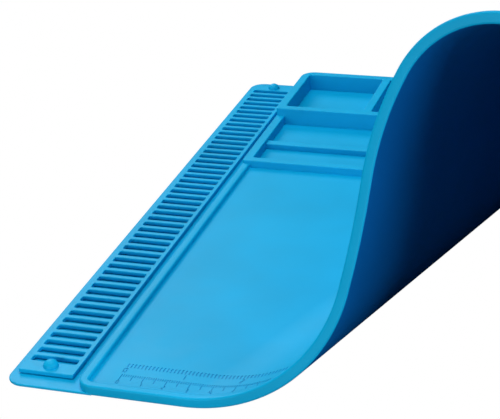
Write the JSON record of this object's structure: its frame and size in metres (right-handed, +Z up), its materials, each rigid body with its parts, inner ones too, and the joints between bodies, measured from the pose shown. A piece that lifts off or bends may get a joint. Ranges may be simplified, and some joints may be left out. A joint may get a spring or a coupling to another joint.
{
  "type": "silicone soldering work mat",
  "caption": "Flexible silicone repair mat with a shallow tray, raised compartments, a ruler and a lift-off slotted strip, its right part bent up into a hump.",
  "frame": {"origin": "on the table under the part of the mat that lies flat, 60 mm from the mat's left edge and 175 mm from its front edge", "axes": "+X along the ruler to the right, +Y away from the ruler edge to the back, +Z up"},
  "size_m": [0.4396, 0.4057, 0.1603],
  "materials": {
    "silicone_mat": "matte bright blue moulded silicone",
    "silicone_strip": "matte bright blue moulded silicone",
    "silicone_stud": "matte bright blue moulded silicone"
  },
  "bodies": {
    "work_area": {"work_area": "silicone_mat"},
    "slot_strip": {"slot_strip": "silicone_strip", "stud_front": "silicone_stud", "stud_back": "silicone_stud"},
    "flex_panel_01": {"flex_panel_01": "silicone_mat"},
    "flex_panel_02": {"flex_panel_02": "silicone_mat"},
    "flex_panel_03": {"flex_panel_03": "silicone_mat"},
    "flex_panel_04": {"flex_panel_04": "silicone_mat"},
    "flex_panel_05": {"flex_panel_05": "silicone_mat"},
    "flex_panel_06": {"flex_panel_06": "silicone_mat"},
    "flex_panel_07": {"flex_panel_07": "silicone_mat"},
    "flex_panel_08": {"flex_panel_08": "silicone_mat"},
    "flex_panel_09": {"flex_panel_09": "silicone_mat"},
    "flex_panel_10": {"flex_panel_10": "silicone_mat"},
    "flex_panel_11": {"flex_panel_11": "silicone_mat"},
    "flex_panel_12": {"flex_panel_12": "silicone_mat"},
    "flex_panel_13": {"flex_panel_13": "silicone_mat"},
    "flex_panel_14": {"flex_panel_14": "silicone_mat"},
    "flex_panel_15": {"flex_panel_15": "silicone_mat"},
    "flex_panel_16": {"flex_panel_16": "silicone_mat"},
    "flex_panel_17": {"flex_panel_17": "silicone_mat"},
    "far_panel": {"far_panel": "silicone_mat"}
  },
  "joints": [
    {"name": "strip_lift", "type": "slide", "parent": "work_area", "child": "slot_strip", "axis": [0, 0, 1], "range_m": [0, 0.03]},
    {"name": "unroll_01", "type": "hinge", "parent": "work_area", "child": "flex_panel_01", "pos_m": [0.09858, 0.0516, 0], "axis": [0.3387, 0.9409, 0], "range_deg": [0, 10.5]},
    {"name": "unroll_02", "type": "hinge", "parent": "flex_panel_01", "child": "flex_panel_02", "pos_m": [0.11258, 0.04682, 0.00274], "axis": [0.3085, 0.9512, -0.0059], "range_deg": [0, 21]},
    {"name": "unroll_03", "type": "hinge", "parent": "flex_panel_02", "child": "flex_panel_03", "pos_m": [0.12487, 0.04314, 0.0106], "axis": [0.282, 0.9591, -0.0229], "range_deg": [0, 20.32]},
    {"name": "unroll_04", "type": "hinge", "parent": "flex_panel_03", "child": "flex_panel_04", "pos_m": [0.13392, 0.04102, 0.02239], "axis": [0.2624, 0.9637, -0.0484], "range_deg": [0, 19.65]},
    {"name": "unroll_05", "type": "hinge", "parent": "flex_panel_04", "child": "flex_panel_05", "pos_m": [0.13879, 0.04066, 0.0366], "axis": [0.2519, 0.9645, -0.0791], "range_deg": [0, 13.28]},
    {"name": "unroll_06", "type": "hinge", "parent": "flex_panel_05", "child": "flex_panel_06", "pos_m": [0.13783, 0.04429, 0.06594], "axis": [-0.2442, -0.959, 0.1436], "range_deg": [0, 6.9]},
    {"name": "unroll_07", "type": "hinge", "parent": "flex_panel_06", "child": "flex_panel_07", "pos_m": [0.14539, 0.04778, 0.09521], "axis": [-0.2281, -0.9516, 0.206], "range_deg": [0, 26.87]},
    {"name": "unroll_08", "type": "hinge", "parent": "flex_panel_07", "child": "flex_panel_08", "pos_m": [0.15618, 0.04815, 0.10758], "axis": [-0.2069, -0.9509, 0.2303], "range_deg": [0, 33.05]},
    {"name": "unroll_09", "type": "hinge", "parent": "flex_panel_08", "child": "flex_panel_09", "pos_m": [0.17178, 0.04617, 0.11229], "axis": [-0.1763, -0.9547, 0.2395], "range_deg": [0, 16.52]},
    {"name": "unroll_10", "type": "hinge", "parent": "flex_panel_09", "child": "flex_panel_10", "pos_m": [0.1988, 0.04205, 0.11229], "axis": [-0.1163, -0.9639, 0.2395], "range_deg": [0, 16.52]},
    {"name": "unroll_11", "type": "hinge", "parent": "flex_panel_10", "child": "flex_panel_11", "pos_m": [0.21428, 0.03929, 0.10758], "axis": [-0.086, -0.9693, 0.2303], "range_deg": [0, 33.05]},
    {"name": "unroll_12", "type": "hinge", "parent": "flex_panel_11", "child": "flex_panel_12", "pos_m": [0.22446, 0.03572, 0.09521], "axis": [-0.066, -0.9763, 0.206], "range_deg": [0, 26.87]},
    {"name": "unroll_13", "type": "hinge", "parent": "flex_panel_12", "child": "flex_panel_13", "pos_m": [0.23064, 0.03013, 0.06594], "axis": [-0.0528, -0.9882, 0.1436], "range_deg": [0, 6.9]},
    {"name": "unroll_14", "type": "hinge", "parent": "flex_panel_13", "child": "flex_panel_14", "pos_m": [0.22864, 0.02695, 0.0366], "axis": [0.0471, 0.9958, -0.0791], "range_deg": [0, 13.28]},
    {"name": "unroll_15", "type": "hinge", "parent": "flex_panel_14", "child": "flex_panel_15", "pos_m": [0.23339, 0.02584, 0.02239], "axis": [0.0368, 0.9982, -0.0484], "range_deg": [0, 19.65]},
    {"name": "unroll_16", "type": "hinge", "parent": "flex_panel_15", "child": "flex_panel_16", "pos_m": [0.24267, 0.02517, 0.0106], "axis": [0.0168, 0.9996, -0.0229], "range_deg": [0, 20.32]},
    {"name": "unroll_17", "type": "hinge", "parent": "flex_panel_16", "child": "flex_panel_17", "pos_m": [0.2555, 0.02502, 0.00274], "axis": [-0.0109, 0.9999, -0.0059], "range_deg": [0, 21]},
    {"name": "unroll_18", "type": "hinge", "parent": "flex_panel_17", "child": "far_panel", "pos_m": [0.27028, 0.02541, 0], "axis": [-0.0428, 0.9991, 0], "range_deg": [0, 10.5]}
  ],
  "couplings": [
    {"joint": "unroll_01", "follows": "unroll_12", "ratio": 0.39073},
    {"joint": "unroll_02", "follows": "unroll_12", "ratio": 0.78146},
    {"joint": "unroll_03", "follows": "unroll_12", "ratio": 0.75634},
    {"joint": "unroll_04", "follows": "unroll_12", "ratio": 0.73122},
    {"joint": "unroll_05", "follows": "unroll_12", "ratio": 0.49399},
    {"joint": "unroll_06", "follows": "unroll_12", "ratio": 0.25677},
    {"joint": "unroll_07", "follows": "unroll_12", "ratio": 1},
    {"joint": "unroll_08", "follows": "unroll_12", "ratio": 1.2297},
    {"joint": "unroll_09", "follows": "unroll_12", "ratio": 0.61485},
    {"joint": "unroll_10", "follows": "unroll_12", "ratio": 0.61485},
    {"joint": "unroll_11", "follows": "unroll_12", "ratio": 1.2297},
    {"joint": "unroll_13", "follows": "unroll_12", "ratio": 0.25677},
    {"joint": "unroll_14", "follows": "unroll_12", "ratio": 0.49399},
    {"joint": "unroll_15", "follows": "unroll_12", "ratio": 0.73122},
    {"joint": "unroll_16", "follows": "unroll_12", "ratio": 0.75634},
    {"joint": "unroll_17", "follows": "unroll_12", "ratio": 0.78146},
    {"joint": "unroll_18", "follows": "unroll_12", "ratio": 0.39073}
  ]
}
